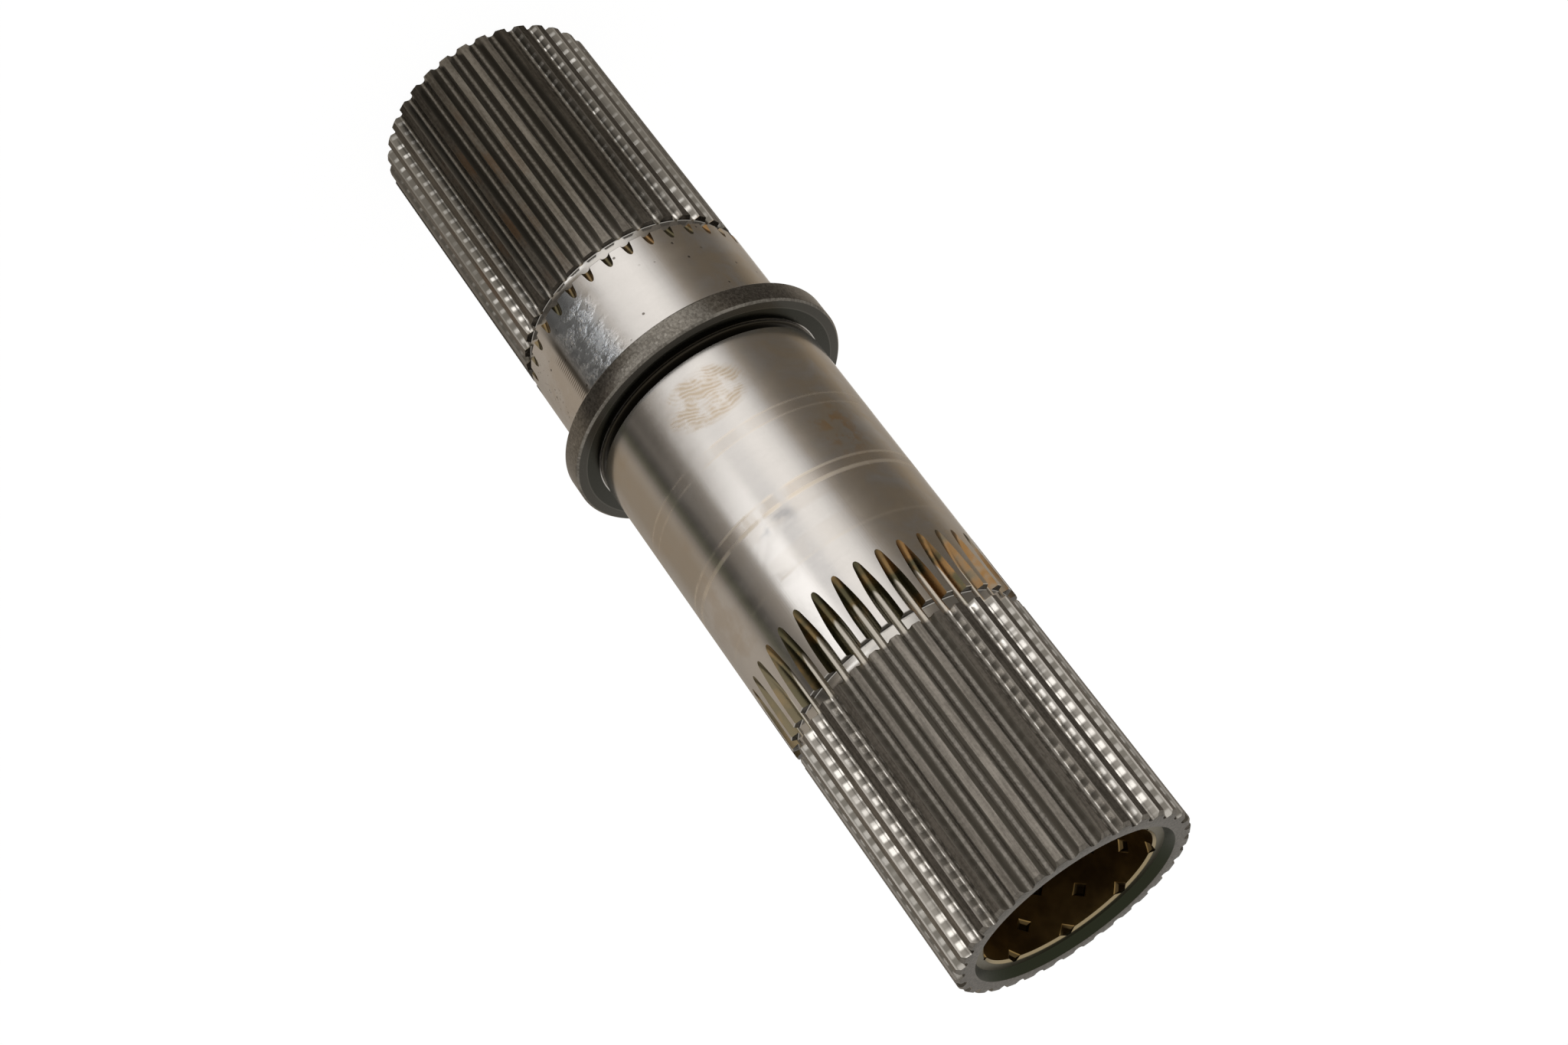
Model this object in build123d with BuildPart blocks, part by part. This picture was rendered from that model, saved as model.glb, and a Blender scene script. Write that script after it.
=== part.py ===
from build123d import *
from math import acos, cos, degrees, pi, radians, sin, tan
import os

# Hollow splined shaft with a bronze bush pressed into one end. Millimetres, +Z along the shaft's axis.
# The origin is the centre of the far end face, which the shaft stands on. The bush is in the near end, at the top.

# Lengths along the axis, one after the other from the far end
far_spline_length = 42.65
groove_width = 1.8
rear_journal_length = 15.9
flange_thickness = 3.55
undercut_width = 1.5
front_journal_length = 47.5
near_spline_length = 35.3

# Journals, flange and bore
journal_diameter = 35.0
flange_diameter = 42.0
undercut_depth = 0.5
bore_diameter = 26.0

# Small edges and corners
end_chamfer = 0.45
flange_chamfer = 0.3
bore_chamfer = 0.6

# Involute splines to the DIN 5480 pattern, the same at both ends
spline_diameter = 35.0
module = 1.0
pressure_angle = radians(30)
flank_allowance = 0.05
root_corner = 0.22
groove_above_root = 0.3
full_depth_length = 39.1
hob_diameter = 45.0
near_spline_turn = 0.0
far_spline_turn = -3.4

# Bush and its seat
bush_outer_diameter = 28.0
bush_wall = 1.5
bush_length = 15.0
bush_recess = 1.2
bush_outer_chamfer = 0.2
bush_inner_chamfer = 0.35
mouth_lead = 0.75

# Diamond-shaped grease pockets in the bush, in staggered rows
pocket_side = 1.6
pocket_floor = 0.9
pocket_depth = 0.45
pocket_reach = 0.2
pockets_per_row = 9
pocket_rows = 4
pocket_row_pitch = 3.35
first_row_inset = 0.45
pocket_turn = 7.0

# Stations along the axis
groove_one = far_spline_length
rear_journal = groove_one + groove_width
flange = rear_journal + rear_journal_length
undercut = flange + flange_thickness
front_journal = undercut + undercut_width
groove_two = front_journal + front_journal_length
near_spline = groove_two + groove_width
shaft_length = near_spline + near_spline_length
bush_top = shaft_length - bush_recess
bush_foot = bush_top - bush_length

# Radii of the turned form
journal_radius = journal_diameter / 2
flange_radius = flange_diameter / 2
undercut_radius = journal_radius - undercut_depth
bore_radius = bore_diameter / 2
seat_radius = bush_outer_diameter / 2
bush_bore_radius = seat_radius - bush_wall
mouth_radius = seat_radius + mouth_lead

# Spline data from its diameter and module
tooth_count = round(spline_diameter / module) - 1
reference_radius = module * tooth_count / 2
base_radius = reference_radius * cos(pressure_angle)
profile_shift = spline_diameter / 2 - reference_radius - 0.55 * module
tooth_thickness = pi * module / 2 + 2 * profile_shift * tan(pressure_angle) - flank_allowance
tip_radius = spline_diameter / 2 - 0.1 * module
root_radius = reference_radius + profile_shift - 0.75 * module
groove_radius = root_radius + groove_above_root
hob_radius = hob_diameter / 2

# The cutters reach this far past the metal
clearance = 1.0
cutter_top = max(journal_radius, tip_radius) + clearance


def involute(angle):
    return tan(angle) - angle


def flank_point(radius):
    """Where one flank of the space centred on +X crosses a radius."""
    local_angle = acos(base_radius / radius)
    half_tooth = tooth_thickness / (2 * reference_radius) + involute(pressure_angle) - involute(local_angle)
    half_space = pi / tooth_count - half_tooth
    return radius * cos(half_space), radius * sin(half_space)


def space_cutter(start, end):
    """One tooth space: straight from start to end, then the arc that the hob leaves as it lifts out."""
    outward = 1 if end > start else -1
    root_x, root_y = flank_point(root_radius)
    tip_x, tip_y = flank_point(tip_radius)
    stretch = (cutter_top - root_radius) / (tip_radius - root_radius)
    top_x = root_x + (tip_x - root_x) * stretch
    top_y = root_y + (tip_y - root_y) * stretch
    flank_length = ((tip_x - root_x) ** 2 + (tip_y - root_y) ** 2) ** 0.5
    corner_x = root_x + (tip_x - root_x) * root_corner / flank_length
    corner_y = root_y + (tip_y - root_y) * root_corner / flank_length
    floor_y = root_y - root_corner
    lift_angle = degrees(acos(1 - (cutter_top - root_radius) / hob_radius))
    with BuildPart() as cutter:
        with BuildSketch(Plane.XY.offset(end)) as space:
            with BuildLine():
                Polyline(
                    (root_x, floor_y),
                    (corner_x, corner_y),
                    (top_x, top_y),
                    (top_x, -top_y),
                    (corner_x, -corner_y),
                    (root_x, -floor_y),
                    close=True,
                )
            make_face()
        extrude(amount=abs(end - start), dir=(0, 0, -outward))
        hob_axis = Axis((root_x + hob_radius, 0, end), (0, outward, 0))
        revolve(space.sketch, axis=hob_axis, revolution_arc=lift_angle)
    return cutter.part


far_space = space_cutter(-clearance, full_depth_length)
near_space = space_cutter(shaft_length + clearance, shaft_length - full_depth_length)

# Shaft: the turned form with its ring grooves, then the tooth spaces, which also cut the grooves' floors
with BuildPart() as shaft:
    with BuildSketch(Plane.XZ):
        with BuildLine():
            Polyline(
                (bore_radius + bore_chamfer, 0),
                (tip_radius - end_chamfer, 0),
                (tip_radius, end_chamfer),
                (tip_radius, groove_one),
                (groove_radius, groove_one),
                (groove_radius, rear_journal),
                (journal_radius, rear_journal),
                (journal_radius, flange),
                (flange_radius - flange_chamfer, flange),
                (flange_radius, flange + flange_chamfer),
                (flange_radius, undercut - flange_chamfer),
                (flange_radius - flange_chamfer, undercut),
                (undercut_radius, undercut),
                (undercut_radius, front_journal),
                (journal_radius, front_journal),
                (journal_radius, groove_two),
                (groove_radius, groove_two),
                (groove_radius, near_spline),
                (tip_radius, near_spline),
                (tip_radius, shaft_length - end_chamfer),
                (tip_radius - end_chamfer, shaft_length),
                (mouth_radius, shaft_length),
                (seat_radius, bush_top),
                (seat_radius, bush_foot),
                (bore_radius, bush_foot),
                (bore_radius, bore_chamfer),
                close=True,
            )
        make_face()
    revolve(axis=Axis.Z)
    with Locations(Location((0, 0, 0), (0, 0, far_spline_turn))):
        with PolarLocations(0, tooth_count):
            add(far_space, mode=Mode.SUBTRACT)
    with Locations(Location((0, 0, 0), (0, 0, near_spline_turn))):
        with PolarLocations(0, tooth_count):
            add(near_space, mode=Mode.SUBTRACT)

# Bush: a thin bronze tube, flush against its seat, with the diamond-shaped grease pockets in its bore
pocket_mouth = pocket_side + (pocket_side - pocket_floor) * pocket_reach / pocket_depth
pocket_inset = (pocket_mouth - pocket_floor) / 2
with BuildPart() as bush:
    with BuildSketch(Plane.XZ):
        with BuildLine():
            Polyline(
                (bush_bore_radius, bush_foot),
                (seat_radius - bush_outer_chamfer, bush_foot),
                (seat_radius, bush_foot + bush_outer_chamfer),
                (seat_radius, bush_top),
                (bush_bore_radius + bush_inner_chamfer, bush_top),
                (bush_bore_radius, bush_top - bush_inner_chamfer),
                close=True,
            )
        make_face()
    revolve(axis=Axis.Z)
    for row in range(pocket_rows):
        row_height = bush_top - first_row_inset - row * pocket_row_pitch
        row_turn = pocket_turn + (row % 2) * 180 / pockets_per_row
        with Locations(Location((0, 0, row_height), (0, 0, row_turn))):
            with PolarLocations(bush_bore_radius - pocket_reach, pockets_per_row):
                Wedge(
                    xsize=pocket_mouth,
                    ysize=pocket_reach + pocket_depth,
                    zsize=pocket_mouth,
                    xmin=pocket_inset,
                    zmin=pocket_inset,
                    xmax=pocket_inset + pocket_floor,
                    zmax=pocket_inset + pocket_floor,
                    rotation=(45, 0, -90),
                    align=(Align.CENTER, Align.MIN, Align.CENTER),
                    mode=Mode.SUBTRACT,
                )

os.makedirs("parts", exist_ok=True)
shaft.part.label = "shaft"
bush.part.label = "bush"
export_step(shaft.part, "parts/shaft.step")
export_step(bush.part, "parts/bush.step")
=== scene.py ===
from math import acos, cos, degrees, pi, radians, sin, tan

import bmesh
import bpy
from mathutils import Matrix, Vector


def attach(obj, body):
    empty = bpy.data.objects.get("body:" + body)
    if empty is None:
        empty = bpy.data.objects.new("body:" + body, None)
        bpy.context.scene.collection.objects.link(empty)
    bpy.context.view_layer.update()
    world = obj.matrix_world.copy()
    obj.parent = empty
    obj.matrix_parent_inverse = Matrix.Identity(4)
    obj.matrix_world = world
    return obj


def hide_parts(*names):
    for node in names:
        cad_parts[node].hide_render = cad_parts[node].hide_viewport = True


# A hollow splined shaft with a bronze bush in its near end. Metres in the scene, millimetres in the finishes.
# The shaft stands on its far end, and +Z runs along its axis to the near end.

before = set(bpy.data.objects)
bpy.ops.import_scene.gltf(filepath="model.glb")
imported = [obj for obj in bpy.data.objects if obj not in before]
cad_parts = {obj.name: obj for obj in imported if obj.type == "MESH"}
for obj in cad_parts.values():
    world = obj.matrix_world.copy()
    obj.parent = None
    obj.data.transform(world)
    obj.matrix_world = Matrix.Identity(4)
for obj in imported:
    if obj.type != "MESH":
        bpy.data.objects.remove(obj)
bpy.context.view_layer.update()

# Stations along the axis, from the far end face, and radii
FAR_GROOVE = (42.65, 44.45)
REAR_JOURNAL = (44.45, 60.35)
COLLAR = (60.35, 63.9)
UNDERCUT = (63.9, 65.4)
FRONT_JOURNAL = (65.4, 112.9)
NEAR_GROOVE = (112.9, 114.7)
SHAFT_END = 150.0
BUSH_TOP = 148.8
BUSH_FOOT = 133.8
JOURNAL_RADIUS = 17.5
TIP_RADIUS = 17.4
ROOT_RADIUS = 16.2
GROOVE_RADIUS = 16.5
COLLAR_RADIUS = 21.0

# Involute splines of 34 teeth and module 1, cut by a hob of 45 mm that lifts out at the end of its travel
TEETH = 34
PRESSURE_ANGLE = radians(30)
TOOTH_THICKNESS = pi / 2 - 2 * 0.05 * tan(PRESSURE_ANGLE) - 0.05
HOB_RADIUS = 22.5
FULL_DEPTH = 39.1
FAR_SPLINE_TURN = radians(-3.4)


class Value:
    """A number or colour on its way through a finish's nodes. Python's operators add Math nodes."""

    def __init__(self, finish, socket):
        self.finish = finish
        self.socket = socket

    def __add__(self, other):
        return self.finish.maths("ADD", self, other)

    def __radd__(self, other):
        return self.finish.maths("ADD", other, self)

    def __sub__(self, other):
        return self.finish.maths("SUBTRACT", self, other)

    def __rsub__(self, other):
        return self.finish.maths("SUBTRACT", other, self)

    def __mul__(self, other):
        return self.finish.maths("MULTIPLY", self, other)

    def __rmul__(self, other):
        return self.finish.maths("MULTIPLY", other, self)

    def __truediv__(self, other):
        return self.finish.maths("DIVIDE", self, other)

    def __rtruediv__(self, other):
        return self.finish.maths("DIVIDE", other, self)

    def __pow__(self, other):
        return self.finish.maths("POWER", self, other)

    def __neg__(self):
        return self.finish.maths("MULTIPLY", self, -1.0)

    def __abs__(self):
        return self.finish.maths("ABSOLUTE", self)


class Finish:
    """The node tree of a material or of the world, and the few ways in which it is built."""

    def __init__(self, owner):
        owner.use_nodes = True
        self.tree = owner.node_tree
        self.tree.nodes.clear()

    def node(self, kind, settings=None, inputs=None, out=0):
        new = self.tree.nodes.new(kind)
        for name, setting in (settings or {}).items():
            setattr(new, name, setting)
        for name, given in (inputs or {}).items():
            self.plug(new.inputs[name], given)
        return Value(self, new.outputs[out]) if new.outputs else None

    def plug(self, socket, given):
        if isinstance(given, Value):
            self.tree.links.new(given.socket, socket)
        else:
            socket.default_value = given

    def maths(self, operation, *given):
        return self.node("ShaderNodeMath", {"operation": operation}, dict(enumerate(given)))

    def vector(self, operation, *given):
        return self.node("ShaderNodeVectorMath", {"operation": operation}, dict(enumerate(given)))

    def rise(self, given, low, high):
        """0 up to low, 1 from high on, smooth between. With low above high it falls."""
        settings = {"interpolation_type": "SMOOTHSTEP", "clamp": True}
        if low < high:
            return self.node("ShaderNodeMapRange", settings, {0: given, 1: low, 2: high, 3: 0.0, 4: 1.0})
        return self.node("ShaderNodeMapRange", settings, {0: given, 1: high, 2: low, 3: 1.0, 4: 0.0})

    def band(self, given, low, high, soft):
        """1 between low and high, with edges as soft as given."""
        return self.rise(given, low - soft, low + soft) * self.rise(given, high + soft, high - soft)

    def mix(self, share, first, second):
        """A colour between two, or with the share of the second one."""
        settings = {"data_type": "RGBA", "clamp_factor": True}
        return self.node("ShaderNodeMix", settings, {0: share, 6: first, 7: second}, out=2)

    def blend(self, share, first, second):
        """A number between two."""
        return self.node("ShaderNodeMix", {"data_type": "FLOAT"}, {0: share, 2: first, 3: second})

    def combine(self, x, y, z):
        return self.node("ShaderNodeCombineXYZ", None, {0: x, 1: y, 2: z})

    def noise(self, place, scale, detail=3.0, roughness=0.55, warp=0.0):
        inputs = {"Vector": place, "Scale": scale, "Detail": detail, "Roughness": roughness, "Distortion": warp}
        return self.node("ShaderNodeTexNoise", None, inputs)

    def split(self, place):
        new = self.tree.nodes.new("ShaderNodeSeparateXYZ")
        self.plug(new.inputs[0], place)
        return [Value(self, socket) for socket in new.outputs]


def colour(red, green, blue):
    return (red, green, blue, 1.0)


# The detailed shaft: the turned form, then the tooth spaces taken out of it


def turned_form():
    """The shaft before its splines are cut. Each corner is a radius, a height and the size of its rounding."""
    corners = [
        (13.6, 0.0, 0.0), (TIP_RADIUS - 0.45, 0.0, 0.06), (TIP_RADIUS, 0.45, 0.06), (TIP_RADIUS, FAR_GROOVE[0], 0.0),
        (GROOVE_RADIUS, FAR_GROOVE[0], 0.2), (GROOVE_RADIUS, FAR_GROOVE[1], 0.2),
        (JOURNAL_RADIUS - 0.12, FAR_GROOVE[1], 0.0), (JOURNAL_RADIUS, FAR_GROOVE[1] + 0.12, 0.0),
        (JOURNAL_RADIUS, COLLAR[0], 0.0), (COLLAR_RADIUS - 0.3, COLLAR[0], 0.0), (COLLAR_RADIUS, COLLAR[0] + 0.3, 0.06),
        (COLLAR_RADIUS, COLLAR[1] - 0.3, 0.06), (COLLAR_RADIUS - 0.3, COLLAR[1], 0.06), (17.0, COLLAR[1], 0.3),
        (17.0, UNDERCUT[1], 0.3), (JOURNAL_RADIUS - 0.12, UNDERCUT[1], 0.0), (JOURNAL_RADIUS, UNDERCUT[1] + 0.12, 0.0),
        (JOURNAL_RADIUS, NEAR_GROOVE[0] - 0.12, 0.0), (JOURNAL_RADIUS - 0.12, NEAR_GROOVE[0], 0.0),
        (GROOVE_RADIUS, NEAR_GROOVE[0], 0.2), (GROOVE_RADIUS, NEAR_GROOVE[1], 0.2), (TIP_RADIUS, NEAR_GROOVE[1], 0.0),
        (TIP_RADIUS, SHAFT_END - 0.45, 0.06), (TIP_RADIUS - 0.45, SHAFT_END, 0.06), (14.75, SHAFT_END, 0.06),
        (14.0, BUSH_TOP, 0.0), (14.0, BUSH_FOOT, 0.0), (13.0, BUSH_FOOT, 0.0), (13.0, 0.6, 0.0),
    ]
    form = bmesh.new()
    points = [form.verts.new((radius / 1000, 0.0, height / 1000)) for radius, height, rounding in corners]
    for first, second in zip(points, points[1:] + points[:1]):
        form.edges.new((first, second))
    for size in sorted({rounding for radius, height, rounding in corners if rounding}):
        round_off(form, [point for point, corner in zip(points, corners) if corner[2] == size], size)
    outline = form.edges[:] + form.verts[:]
    spin(form, outline, (0.0, 0.0, 0.0), (0.0, 0.0, 1.0), 2 * pi, 10 * TEETH, use_merge=True)
    bmesh.ops.remove_doubles(form, verts=form.verts[:], dist=1e-7)
    bmesh.ops.recalc_face_normals(form, faces=form.faces[:])
    return form


def round_off(form, points, size):
    bmesh.ops.bevel(
        form,
        geom=points,
        offset=size / 1000,
        offset_type="OFFSET",
        segments=4,
        profile=0.5,
        affect="VERTICES",
        material=-1,
    )


def spin(form, parts, centre, axis, angle, steps, use_merge=False):
    bmesh.ops.spin(form, geom=parts, cent=centre, axis=axis, angle=angle, steps=steps, use_merge=use_merge)


def flank_point(radius):
    """Where one flank of the space centred on +X crosses a radius, in millimetres."""
    pitch_radius = TEETH / 2
    local = acos(pitch_radius * cos(PRESSURE_ANGLE) / radius)
    half_tooth = TOOTH_THICKNESS / (2 * pitch_radius) + tan(PRESSURE_ANGLE) - PRESSURE_ANGLE - tan(local) + local
    half_space = pi / TEETH - half_tooth
    return radius * cos(half_space), radius * sin(half_space)


def space_cutter(start, end):
    """One tooth space on +X: straight from start to end, then round the hob's axis and out of the metal."""
    outward = 1 if end > start else -1
    left = [flank_point(radius) for radius in (ROOT_RADIUS, 16.6, 17.0, 17.4, 17.8, 18.3)]
    section = left + [(across, -aside) for across, aside in reversed(left)]
    cutter = bmesh.new()
    points = [cutter.verts.new((across / 1000, aside / 1000, end / 1000)) for across, aside in section]
    for first, second in zip(points, points[1:] + points[:1]):
        cutter.edges.new((first, second))
    round_off(cutter, [points[0], points[-1]], 0.32)
    hob_centre = ((left[0][0] + HOB_RADIUS) / 1000, 0.0, end / 1000)
    lift = acos(1 - 2.4 / HOB_RADIUS)
    spin(cutter, cutter.edges[:] + cutter.verts[:], hob_centre, (0.0, outward, 0.0), lift, 16)
    foot = [edge for edge in cutter.edges if all(abs(point.co.z - end / 1000) < 1e-7 for point in edge.verts)]
    grown = bmesh.ops.extrude_edge_only(cutter, edges=foot)["geom"]
    ends = [part for part in grown if isinstance(part, bmesh.types.BMVert)]
    bmesh.ops.translate(cutter, verts=ends, vec=(0.0, 0.0, (start - end) / 1000))
    bmesh.ops.holes_fill(cutter, edges=[edge for edge in cutter.edges if edge.is_boundary])
    bmesh.ops.recalc_face_normals(cutter, faces=cutter.faces[:])
    return cutter


def ring_of_cutters(name, first_space, finish):
    """Every second tooth space of both splines, so that no two cutters meet."""
    ring = bmesh.new()
    for start, end, ring_turn in ((-1.0, FULL_DEPTH, FAR_SPLINE_TURN), (SHAFT_END + 1.0, SHAFT_END - FULL_DEPTH, 0.0)):
        cutter = space_cutter(start, end)
        copy = bpy.data.meshes.new("tooth_space")
        cutter.to_mesh(copy)
        cutter.free()
        for space in range(first_space, TEETH, 2):
            before = len(ring.verts)
            ring.from_mesh(copy)
            turn_matrix = Matrix.Rotation(ring_turn + 2 * pi * space / TEETH, 3, "Z")
            bmesh.ops.rotate(ring, verts=ring.verts[before:], cent=(0.0, 0.0, 0.0), matrix=turn_matrix)
        bpy.data.meshes.remove(copy)
    mesh = bpy.data.meshes.new(name)
    ring.to_mesh(mesh)
    ring.free()
    for given in finish:
        mesh.materials.append(given)
    mesh.polygons.foreach_set("material_index", [1] * len(mesh.polygons))
    return bpy.data.objects.new(name, mesh)


turned_steel = bpy.data.materials.new("turned_steel")
cut_steel = bpy.data.materials.new("cut_steel")
finishes = (turned_steel, cut_steel)
form = turned_form()
blank_mesh = bpy.data.meshes.new("blank")
form.to_mesh(blank_mesh)
form.free()
blank = bpy.data.objects.new("blank", blank_mesh)
for given in finishes:
    blank_mesh.materials.append(given)
cutters = [ring_of_cutters("even_spaces", 0, finishes), ring_of_cutters("odd_spaces", 1, finishes)]
for part in [blank] + cutters:
    bpy.context.scene.collection.objects.link(part)
for cutter in cutters:
    cut = blank.modifiers.new(cutter.name, "BOOLEAN")
    cut.operation = "DIFFERENCE"
    cut.solver = "MANIFOLD"
    cut.object = cutter
shaft_mesh = bpy.data.meshes.new_from_object(blank.evaluated_get(bpy.context.evaluated_depsgraph_get()))
for part in [blank] + cutters:
    bpy.data.objects.remove(part)

# Smooth faces, with a sharp edge wherever a cut meets the turned form or the form turns a corner
form = bmesh.new()
form.from_mesh(shaft_mesh)
for face in form.faces:
    face.smooth = True
for edge in form.edges:
    one, other = edge.link_faces
    edge.smooth = one.material_index == other.material_index and edge.calc_face_angle() < radians(30)
form.to_mesh(shaft_mesh)
form.free()
shaft_mesh.name = "splined_shaft"
shaft = bpy.data.objects.new("splined_shaft", shaft_mesh)
bpy.context.scene.collection.objects.link(shaft)
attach(shaft, "root")
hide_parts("shaft")


# Finishes


class Places(Finish):
    """A finish with its millimetres: height z, radius, side in degrees from +X towards -Y, and noises to share."""

    def __init__(self, owner):
        super().__init__(owner)
        metres = self.node("ShaderNodeTexCoord", out=3)
        self.place = self.node("ShaderNodeVectorMath", {"operation": "SCALE"}, {0: metres, "Scale": 1000.0})
        self.x, self.y, self.z = self.split(self.place)
        self.radius = (self.x * self.x + self.y * self.y) ** 0.5
        self.turn = self.maths("ARCTAN2", self.y, self.x)
        self.side = self.turn * degrees(-1.0)
        self.around = self.turn * JOURNAL_RADIUS
        self.unrolled = self.combine(self.around, self.z, 0.0)
        self.cloud = self.noise(self.place, 0.12, 4.0, 0.6)
        self.grain = self.noise(self.place, 2.4, 4.0, 0.7)
        self.fine = self.noise(self.place, 9.0, 2.0, 0.6)

    def metal(self, base, rough, height, strength, distance):
        bump = self.node(
            "ShaderNodeBump",
            None,
            {"Strength": strength, "Distance": distance / 1000, "Height": height},
        )
        inputs = {"Base Color": base, "Metallic": 1.0, "Roughness": rough, "Normal": bump}
        self.node("ShaderNodeOutputMaterial", None, {"Surface": self.node("ShaderNodeBsdfPrincipled", None, inputs)})


# Turned steel: tooth tips, ends, grooves, journals and collar

f = Places(turned_steel)
z, radius, side = f.z, f.radius, f.side
journal = f.rise(radius, 17.42, 17.46) * f.rise(radius, 17.60, 17.56)
front = f.rise(z, COLLAR[1], COLLAR[1] + 0.1)
collar = f.rise(radius, 17.56, 17.62)
tip = f.rise(radius, 17.32, 17.36) * (1.0 - journal) * (1.0 - collar)
far_part = f.rise(z, 50.0, 30.0)
bore = f.rise(radius, 14.9, 14.7)
sunk = f.band(z, FAR_GROOVE[0], FAR_GROOVE[1], 0.02) + f.band(z, NEAR_GROOVE[0], NEAR_GROOVE[1], 0.02)
sunk = sunk * (1.0 - journal) * (1.0 - bore)
undercut = f.band(z, COLLAR[1] + 0.02, UNDERCUT[1], 0.03) * (1.0 - journal) * (1.0 - bore)
collar_face = collar * f.rise(radius, 20.72, 20.66)

streaks = f.noise(f.combine(f.around * 2.2, f.z * 0.12, 5.0), 1.0, 3.0, 0.6) * 0.6 + f.grain * 0.4
near_tip = f.mix(f.rise(streaks, 0.35, 0.65), colour(0.125, 0.114, 0.098), colour(0.245, 0.225, 0.198))
far_tip = f.mix(f.rise(streaks, 0.35, 0.65), colour(0.075, 0.066, 0.052), colour(0.16, 0.144, 0.12))
base = f.mix(far_part, near_tip, far_tip)
rough = f.blend(f.grain, 0.27, 0.42)

# Brown stain on the far spline
rust = f.band(side, -62.0, -8.0, 14.0) * f.rise(z, 6.0, 14.0) * far_part * f.rise(f.cloud, 0.42, 0.62)
base = f.mix(rust * 0.6, base, colour(0.15, 0.085, 0.04))

# Journals
wear = f.noise(f.combine(f.around * 0.16, f.z * 0.5, 3.0), 1.0, 5.0, 0.65)
film = f.rise(side, 14.0, 46.0) * f.rise(side, 84.0, 62.0)
# Left side past -38 to -52 degrees: carries a brown film and a painted reflection.
left_film_and_painted_reflection = f.rise(side, -38.0, -52.0)
patch = f.noise(f.place, 0.16, 5.0, 0.62, 0.6)
polish = f.mix(wear * 0.6 + f.grain * 0.4, colour(0.575, 0.56, 0.54), colour(0.695, 0.675, 0.66))
polish = f.mix(film * f.rise(patch, 0.3, 0.65) * 0.7, polish, colour(0.60, 0.49, 0.34))
# Painted reflection: a darker brown on the front journal's left side, from about -52 to -76 degrees and below z 88 to
# 93.
painted_dim_reflection = left_film_and_painted_reflection * front * f.rise(z, 93.0, 88.0) * f.rise(side, -76.0, -62.0)
polish = f.mix(painted_dim_reflection * 0.75, polish, colour(0.40, 0.345, 0.27))
polish = f.mix(left_film_and_painted_reflection * f.rise(f.cloud, 0.46, 0.64) * 0.35, polish, colour(0.46, 0.37, 0.26))
polish_rough = f.blend(wear, 0.12, 0.18) + f.rise(patch, 0.45, 0.75) * 0.06 + f.grain * 0.03

# Wear rings of the front journal
rings = f.band(z, 78.1, 79.9, 0.12) * 0.5 + f.band(z, 89.1, 91.0, 0.12) + f.band(z, 91.0, 93.2, 0.4) * 0.35
rings = rings + f.band(z, 96.3, 99.3, 0.3) * 0.3
ring_edges = f.band(z, 78.0, 78.3, 0.15) * 0.6 + f.band(z, 79.7, 80.0, 0.15) * 0.5 + f.band(z, 88.9, 89.3, 0.15)
ring_edges = ring_edges + f.band(z, 90.6, 91.2, 0.15) * 1.1 + f.band(z, 99.0, 99.4, 0.2) * 0.3
gaps = f.noise(f.combine(f.around * 0.25, f.z * 0.1, 0.0), 1.0, 3.0)
broken = f.blend(f.rise(side, 0.0, 16.0), f.rise(gaps, 0.36, 0.6), f.rise(gaps, 0.15, 0.4))
polish = f.mix(rings * broken * 0.38, polish, colour(0.50, 0.42, 0.33))
polish = f.mix(ring_edges * broken * 0.6, polish, colour(0.78, 0.70, 0.59))
polish_rough = polish_rough + rings * broken * 0.05 + ring_edges * broken * 0.16

# Painted reflections of the front journal: an olive line and grey smears
# Painted reflection: an olive-dark line along the front journal's left side, -35.5 to -40 degrees, up to z 104 to 112.
painted_olive_reflection = f.band(side, -40.0, -35.5, 2.0) * front * f.rise(z, 112.0, 104.0)
polish = f.mix(painted_olive_reflection * 0.5, polish, colour(0.40, 0.43, 0.30))
# Painted reflection: blue-grey smears near z 92, from -12 to 2 degrees, broken up by noise.
grey_reflection_noise = f.noise(f.combine(f.around * 0.28, z * 0.45, 7.0), 1.0, 2.0, 0.5)
painted_grey_reflections = f.band(side, -12.0, 2.0, 5.0) * f.band(z, 91.6, 93.6, 1.2) * f.rise(grey_reflection_noise, 0.38, 0.66)
polish = f.mix(painted_grey_reflections * 0.8, polish, colour(0.24, 0.26, 0.29))

# Orange stain beside the rings
orange = f.band(side, 36.0, 52.0, 8.0) * f.band(z, 81.0, 88.0, 2.5) * f.rise(f.noise(f.place, 0.5, 4.0), 0.48, 0.6)
polish = f.mix(orange * 0.6, polish, colour(0.62, 0.36, 0.12))

# Fingerprint near the undercut
print_x = (f.around + 0.6) * 1.0
print_z = z - 71.6
bent = f.noise(f.combine(f.around, z, 4.0), 0.28, 2.0, 0.5)
reach = ((print_x + 3.0) * (print_x + 3.0) * 0.5 + (print_z + 5.5) * (print_z + 5.5)) ** 0.5
ridges = f.maths("SINE", (reach + bent * 2.0) * (2 * pi / 0.56)) * 0.5 + 0.5
oval = f.rise(((print_x / 6.6) * (print_x / 6.6) + (print_z / 4.4) * (print_z / 4.4)) ** 0.5, 1.05, 0.75)
pressed = oval * (f.rise(f.noise(f.unrolled, 0.35, 3.0, 0.6), 0.36, 0.58) * 0.8 + 0.2)
polish = f.mix(pressed * (0.35 + ridges * 0.4), polish, colour(0.46, 0.36, 0.24))
polish_rough = polish_rough + pressed * (0.08 + ridges * 0.10)

# Scuffed patch, brown ticks and pits of the rear journal, with a painted bluish reflection and a painted dark
# reflection edge
scuff_place = f.combine(f.around * 0.9, z * 0.9, 1.0)
scuff_noise = f.noise(scuff_place, 2.6, 5.0, 0.8, 0.8)
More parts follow.
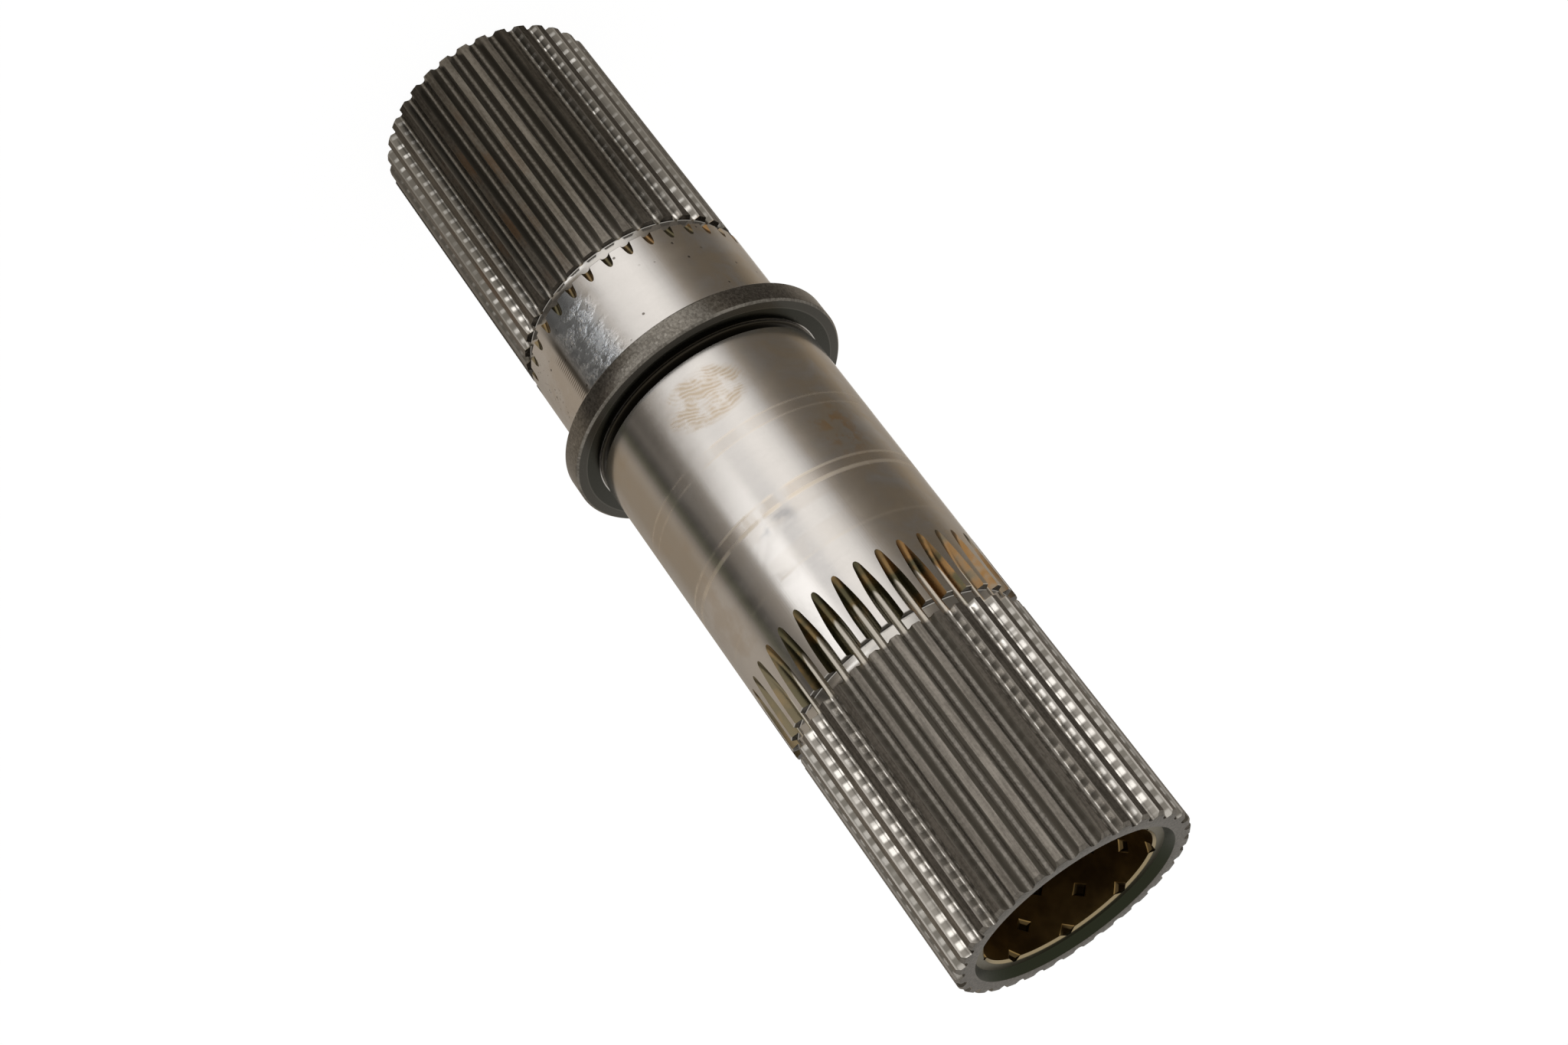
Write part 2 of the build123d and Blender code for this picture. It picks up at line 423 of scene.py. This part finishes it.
# Painted reflection: the rear journal tinted bluish from -16 to -38 degrees.
painted_cool_reflection = f.band(side, -38.0, -16.0, 5.0) * (1.0 - front)
polish = f.mix(painted_cool_reflection * 0.8, polish, colour(0.58, 0.64, 0.71))
scuff = f.band(side, -36.0, -15.0, 6.0) * f.rise(z, 60.0, 57.5) * f.rise(z, 46.0, 48.5) * (1.0 - front)
scuff = scuff * f.rise(f.noise(f.place, 0.55, 3.0), 0.4, 0.58)
polish_rough = polish_rough + scuff * 0.06
polish = f.mix(scuff * f.rise(scuff_noise, 0.54, 0.62), polish, colour(0.97, 0.97, 0.96))
polish = f.mix(scuff * f.rise(scuff_noise, 0.46, 0.38) * 0.8, polish, colour(0.24, 0.25, 0.28))
tick_lines = f.maths("SINE", z * (2 * pi / 0.40) + f.cloud * 9.0) * 0.5 + 0.5
ticks = f.band(side, -47.0, -42.0, 1.5) * f.band(z, 50.0, 58.5, 1.0) * f.rise(tick_lines, 0.3, 0.8) * (1.0 - front)
polish = f.mix(ticks * 0.7, polish, colour(0.16, 0.115, 0.07))
# Painted reflection: a near-black line on the rear journal at -39.5 to -43 degrees, from z 44 to 50 up to the collar.
painted_dark_reflection_edge = f.band(side, -43.0, -39.5, 1.5) * f.rise(z, 44.0, 50.0) * (1.0 - front)
polish = f.mix(painted_dark_reflection_edge * 0.85, polish, colour(0.07, 0.06, 0.042))
pit_cells = f.node("ShaderNodeTexVoronoi", {"feature": "F1"}, {"Vector": f.place, "Scale": 0.55})
pits = f.rise(pit_cells, 0.13, 0.09) * f.rise(f.cloud, 0.42, 0.55) * (1.0 - front)
chain_cells = f.node("ShaderNodeTexVoronoi", {"feature": "F1"}, {"Vector": f.place, "Scale": 1.5})
chain = f.rise(chain_cells, 0.30, 0.2) * f.band(side, -68.0, -58.0, 2.0) * f.rise(f.grain, 0.5, 0.56) * (1.0 - front)
pits = f.maths("MAXIMUM", pits, chain)
polish = f.mix(pits * 0.85, polish, colour(0.10, 0.085, 0.07))

base = f.mix(journal, base, polish)
rough = f.blend(journal, rough, polish_rough)

# Collar: dark and pitted, with a worn front edge and its faces painted darker, most of all inside radius 19.4: painted
# shade
collar_colour = f.mix(f.rise(f.grain, 0.3, 0.7), colour(0.11, 0.10, 0.086), colour(0.235, 0.22, 0.195))
collar_pits = f.node("ShaderNodeTexVoronoi", {"feature": "F1"}, {"Vector": f.place, "Scale": 1.1})
dents = f.rise(collar_pits, 0.32, 0.2) * f.rise(f.noise(f.place, 0.5, 3.0), 0.5, 0.62)
collar_colour = f.mix(dents * 0.5, collar_colour, colour(0.36, 0.34, 0.31))
worn_edge = f.band(radius, 20.72, 21.1, 0.03) * f.band(z, COLLAR[1] - 0.34, COLLAR[1] - 0.05, 0.06)
collar_colour = f.mix(worn_edge * f.rise(f.cloud, 0.42, 0.6) * 0.6, collar_colour, colour(0.34, 0.32, 0.285))
# Painted shade: the collar's faces darker than its rim, darkest inside radius 19.4 by the journal, with a lighter ring
# at 19.4 to 19.55.
face_colour_painted_shade = f.mix(f.rise(radius, 19.55, 19.35), colour(0.072, 0.068, 0.058), colour(0.036, 0.036, 0.028))
face_colour_painted_shade = f.mix(f.band(radius, 19.4, 19.55, 0.06) * 0.7, face_colour_painted_shade, colour(0.12, 0.115, 0.10))
collar_colour = f.mix(collar_face, collar_colour, face_colour_painted_shade)
base = f.mix(collar, base, collar_colour)
rough = f.blend(collar, rough, 0.16 + f.grain * 0.14)

# Grooves and undercut: painted shade, near black on the groove walls and in the undercut; the groove floors light
groove_floor = f.rise(radius, 16.62, 16.52) * sunk
base = f.mix(sunk, base, f.mix(groove_floor, colour(0.05, 0.045, 0.04), colour(0.54, 0.525, 0.50)))
rough = f.blend(sunk, rough, 0.14)
base = f.mix(undercut, base, colour(0.035, 0.03, 0.022))
rough = f.blend(undercut, rough, 0.22)

# End face: matt grey, with painted shade in front of the bush: the mouth painted near black
end_face = f.rise(z, SHAFT_END - 0.05, SHAFT_END - 0.01)
base = f.mix(end_face, base, f.mix(f.rise(f.grain, 0.35, 0.65), colour(0.08, 0.073, 0.062), colour(0.165, 0.15, 0.13)))
rough = f.blend(end_face, rough, 0.38)
# Painted shade: the lead-in between the end face and the bush near black.
mouth_painted_shade = f.rise(radius, 14.78, 14.72) * f.rise(z, BUSH_TOP - 0.05, BUSH_TOP)
base = f.mix(mouth_painted_shade, base, colour(0.035, 0.04, 0.025))

height = f.grain * (1.0 - journal) * 0.6 + f.fine * 0.12 + scuff * scuff_noise * 5.5 - pits * 1.5 - dents * collar * 0.4
f.metal(base, rough, height, 0.35, 0.03)

# Cut steel: the tooth spaces and their run-outs

f = Places(cut_steel)
z, radius = f.z, f.radius
far_part = f.rise(z, 50.0, 30.0)
full_depth = f.rise(z, FAR_GROOVE[0] + 0.3, FAR_GROOVE[0] - 0.3) + f.rise(z, NEAR_GROOVE[1] - 0.3, NEAR_GROOVE[1] + 0.3)
floor_strip = f.rise(radius, 16.36, 16.28)
pitch_turns = f.turn * (TEETH / (2 * pi)) - far_part * (FAR_SPLINE_TURN * TEETH / (2 * pi))
space_number = f.maths("FLOOR", pitch_turns + 0.5)
left_flank = f.rise(pitch_turns - space_number, -0.01, 0.01)

# Hob feed marks: short facets along the flanks, each flank in its own step. Their near-white colour is a painted glint,
# faded by the side angle from +X.
step = f.maths("FRACT", space_number * 0.291 + left_flank * 0.43)
feed = f.maths("SINE", (z / 2.05 + step) * (2 * pi)) * 0.5 + 0.5
patchy = f.noise(f.combine(space_number * 3.7 + left_flank * 1.9, z * 0.35, 0.0), 1.0, 2.0)
off_side = abs(f.side)
# Painted glints: the feed marks are strongest from about 20 to 67 degrees off +X on either side, faint in the middle
# and past 67 degrees; their bumps fade the same way.
painted_glint_side_fade = f.blend(far_part, f.rise(off_side, 20.0, 38.0), f.rise(off_side, 30.0, 46.0))
painted_glint_side_fade = painted_glint_side_fade * (f.rise(off_side, 67.0, 55.0) * 0.7 + 0.3)
uneven = f.rise(patchy, 0.30, 0.52) * (1.0 - far_part * f.rise(f.cloud, 0.6, 0.45) * 0.7)
bright_share = f.blend(far_part, f.rise(feed, 0.2, 0.8), f.rise(feed, 0.6, 1.0))
feed_marks_and_painted_glints = bright_share * uneven * (1.0 - floor_strip) * full_depth * painted_glint_side_fade * f.rise(radius, 17.3, 17.0)
# A lighter line along the top of each flank: edge wear and a painted edge highlight.
edge_wear_and_painted_highlight = f.rise(radius, 17.16, 17.3) * full_depth

# Painted shade: the near spline's flanks darker past 56 to 68 degrees off +X.
near_flank_with_painted_shade = f.mix(f.rise(off_side, 56.0, 68.0), colour(0.27, 0.255, 0.23), colour(0.17, 0.16, 0.14))
near_flank_with_painted_shade = f.mix(feed_marks_and_painted_glints, near_flank_with_painted_shade, colour(0.95, 0.93, 0.89))
far_flank = f.mix(feed_marks_and_painted_glints, colour(0.14, 0.13, 0.112), colour(0.86, 0.85, 0.82))
base = f.mix(far_part, near_flank_with_painted_shade, far_flank)
near_floor = f.mix(f.rise(f.grain, 0.3, 0.7), colour(0.115, 0.107, 0.094), colour(0.215, 0.20, 0.178))
far_floor = f.mix(f.rise(f.grain, 0.3, 0.7), colour(0.07, 0.063, 0.05), colour(0.14, 0.128, 0.11))
base = f.mix(floor_strip, base, f.mix(far_part, near_floor, far_floor))
base = f.mix(edge_wear_and_painted_highlight * 0.7, base, f.mix(far_part, colour(0.46, 0.44, 0.41), colour(0.22, 0.205, 0.18)))
rough = f.blend(feed_marks_and_painted_glints, 0.26, 0.17) + f.grain * 0.06

# Run-outs: olive-black and brown in patches, orange-brown and pale towards -Y, olive towards +Y, ochre on the far
# spline, and a pale strip along the foot
stain = f.noise(f.place, 0.22, 3.0, 0.6)
oil = f.mix(f.rise(stain, 0.45, 0.65), colour(0.085, 0.078, 0.045), colour(0.20, 0.135, 0.06))
oil = f.mix(f.rise(f.side, 14.0, 34.0) * f.rise(stain, 0.40, 0.55), oil, colour(0.25, 0.145, 0.06))
oil = f.mix(f.rise(f.side, 44.0, 66.0) * f.rise(stain, 0.62, 0.45) * 0.7, oil, colour(0.28, 0.235, 0.18))
oil = f.mix(f.rise(f.side, -34.0, -60.0) * 0.6, oil, colour(0.20, 0.168, 0.11))
oil = f.mix(far_part * 0.6, oil, colour(0.23, 0.165, 0.08))
foot_strip = f.rise(radius, 16.46, 16.36)
oil = f.mix(foot_strip * 0.8, oil, colour(0.50, 0.47, 0.42))
base = f.mix(1.0 - full_depth, base, oil)
rough = f.blend(full_depth, 0.24, rough)
scallops = f.maths("SINE", (z / 2.05 + step) * (2 * pi)) * full_depth * painted_glint_side_fade
f.metal(base, rough, scallops * 0.35 + f.grain * 0.25, 0.5, 0.03)

# Bronze of the bush

bronze = bpy.data.materials.new("bush_bronze")
f = Places(bronze)
bare_end = f.rise(f.z, BUSH_TOP - 0.32, BUSH_TOP - 0.26)
pocket = f.rise(f.radius, 12.56, 12.66) * f.rise(f.radius, 13.2, 13.1) * (1.0 - bare_end)
tarnish = f.noise(f.place, 0.14, 3.0, 0.55)
bronze_colour = f.mix(f.rise(tarnish, 0.35, 0.65), colour(0.21, 0.135, 0.055), colour(0.46, 0.31, 0.115))
bronze_colour = f.mix(pocket * 0.85, bronze_colour, colour(0.07, 0.05, 0.024))
bronze_colour = f.mix(bare_end, bronze_colour, colour(0.12, 0.105, 0.065))
lip = f.rise(f.z, BUSH_TOP - 0.40, BUSH_TOP - 0.34) * f.rise(f.radius, 12.84, 12.76)
bronze_colour = f.mix(lip, bronze_colour, colour(0.44, 0.36, 0.22))
f.metal(bronze_colour, f.blend(f.grain, 0.24, 0.38), f.fine, 0.2, 0.02)
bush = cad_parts["bush"]
for slot in bush.material_slots:
    slot.material = bronze
if not bush.material_slots:
    bush.data.materials.append(bronze)

# Floor: white to the eye with the shaft's soft shadow, and open to mirrored light

floor_finish = bpy.data.materials.new("floor_white")
f = Finish(floor_finish)
glossy = f.node("ShaderNodeLightPath", out=3)
white = f.node("ShaderNodeEmission", None, {"Color": colour(1.0, 1.0, 1.0), "Strength": 1.05})
matt = f.node("ShaderNodeBsdfDiffuse", None, {"Color": colour(0.9, 0.9, 0.9)})
seen = f.node("ShaderNodeMixShader", None, {0: 0.08, 1: white, 2: matt})
clear = f.node("ShaderNodeBsdfTransparent")
f.node("ShaderNodeOutputMaterial", None, {"Surface": f.node("ShaderNodeMixShader", None, {0: glossy, 1: seen, 2: clear})})

mesh = bmesh.new()
bmesh.ops.create_grid(mesh, x_segments=1, y_segments=1, size=1.5)
floor_mesh = bpy.data.meshes.new("floor")
mesh.to_mesh(floor_mesh)
mesh.free()
floor_mesh.materials.append(floor_finish)
floor = bpy.data.objects.new("floor", floor_mesh)
floor.location = (0.0, 0.0, -0.0002)
bpy.context.scene.collection.objects.link(floor)

# Studio: a broad white light in front with a bright lamp in it, dark cards at both sides, pale walls behind

world = bpy.data.worlds.new("studio")
bpy.context.scene.world = world
f = Finish(world)
dx, dy, dz = f.split(f.node("ShaderNodeTexCoord", out=0))
bearing = f.maths("ARCTAN2", -dy, dx) * degrees(1.0)
climb = f.maths("ARCSINE", dz) * degrees(1.0)
lean = f.rise(climb, -26.0, -34.0) * f.band(bearing, -60.0, -4.0, 6.0) * 24.0
lean = lean + f.rise(climb, -25.0, -21.5) * f.band(bearing, -60.0, -20.0, 6.0) * 9.0
ring_place = f.node("ShaderNodeMapRange", {"clamp": True}, {0: bearing - lean, 1: -180.0, 2: 180.0, 3: 0.0, 4: 1.0})
ring = [
    (-180, 0.9), (-168, 0.34), (-150, 0.34), (-126, 0.42), (-104, 0.46), (-92, 0.44), (-84, 0.22), (-75, 0.05),
    (-68, 0.08), (-60, 0.26), (-50, 0.38), (-41, 0.72), (-34, 1.02), (-20, 1.1), (0, 1.12), (18, 1.2), (30, 1.06),
    (40, 0.66), (49, 0.34), (58, 0.20), (70, 0.145), (90, 0.13), (108, 0.145), (120, 0.22), (136, 0.36),
    (152, 0.36), (164, 0.40), (172, 0.9), (180, 0.9),
]
settings = f.tree.nodes.new("ShaderNodeValToRGB")
f.plug(settings.inputs[0], ring_place)
for number, (degrees_round, brightness) in enumerate(ring):
    where = (degrees_round + 180) / 360
    stops = settings.color_ramp.elements
    stop = stops[number] if number in (0, len(ring) - 1) else stops.new(where)
    warm = 1.0 if brightness < 0.5 else 0.3
    stop.color = colour(brightness, brightness * (1 - 0.12 * warm), brightness * (1 - 0.26 * warm))
    stop.position = where
low = Value(f, settings.outputs[0])
lamp = f.band(bearing, -42.0, -14.0, 5.0) * f.band(climb, -27.7, -23.2, 0.9)
gap = f.band(bearing, -12.0, 6.0, 3.0) * f.band(climb, -27.6, -25.4, 0.7)
low = f.mix(lamp, low, colour(1.9, 1.88, 1.86))
low = f.mix(gap * 0.75, low, colour(0.5, 0.53, 0.6))
room = f.mix(f.rise(climb, -8.0, 20.0), low, colour(0.62, 0.60, 0.57))
camera_ray = f.node("ShaderNodeLightPath", out=0)
seen_room = f.mix(camera_ray, room, colour(1.0, 1.0, 1.0))
f.node("ShaderNodeOutputWorld", None, {"Surface": f.node("ShaderNodeBackground", None, {0: seen_room, 1: 1.0})})

# Camera

camera_data = bpy.data.cameras.new("camera")
camera_data.lens = 55.62
camera_data.sensor_width = 36.0
camera_data.clip_start = 0.01
camera = bpy.data.objects.new("camera", camera_data)
right = Vector((-0.27628, -0.80327, 0.52767))
up = Vector((0.36860, -0.59561, -0.71371))
back = right.cross(up)
camera.matrix_world = Matrix.Translation((0.28740, 0.0, 0.23340)) @ Matrix((right, up, back)).transposed().to_4x4()
bpy.context.scene.collection.objects.link(camera)
bpy.context.scene.camera = camera

bpy.context.scene.view_settings.view_transform = "Standard"
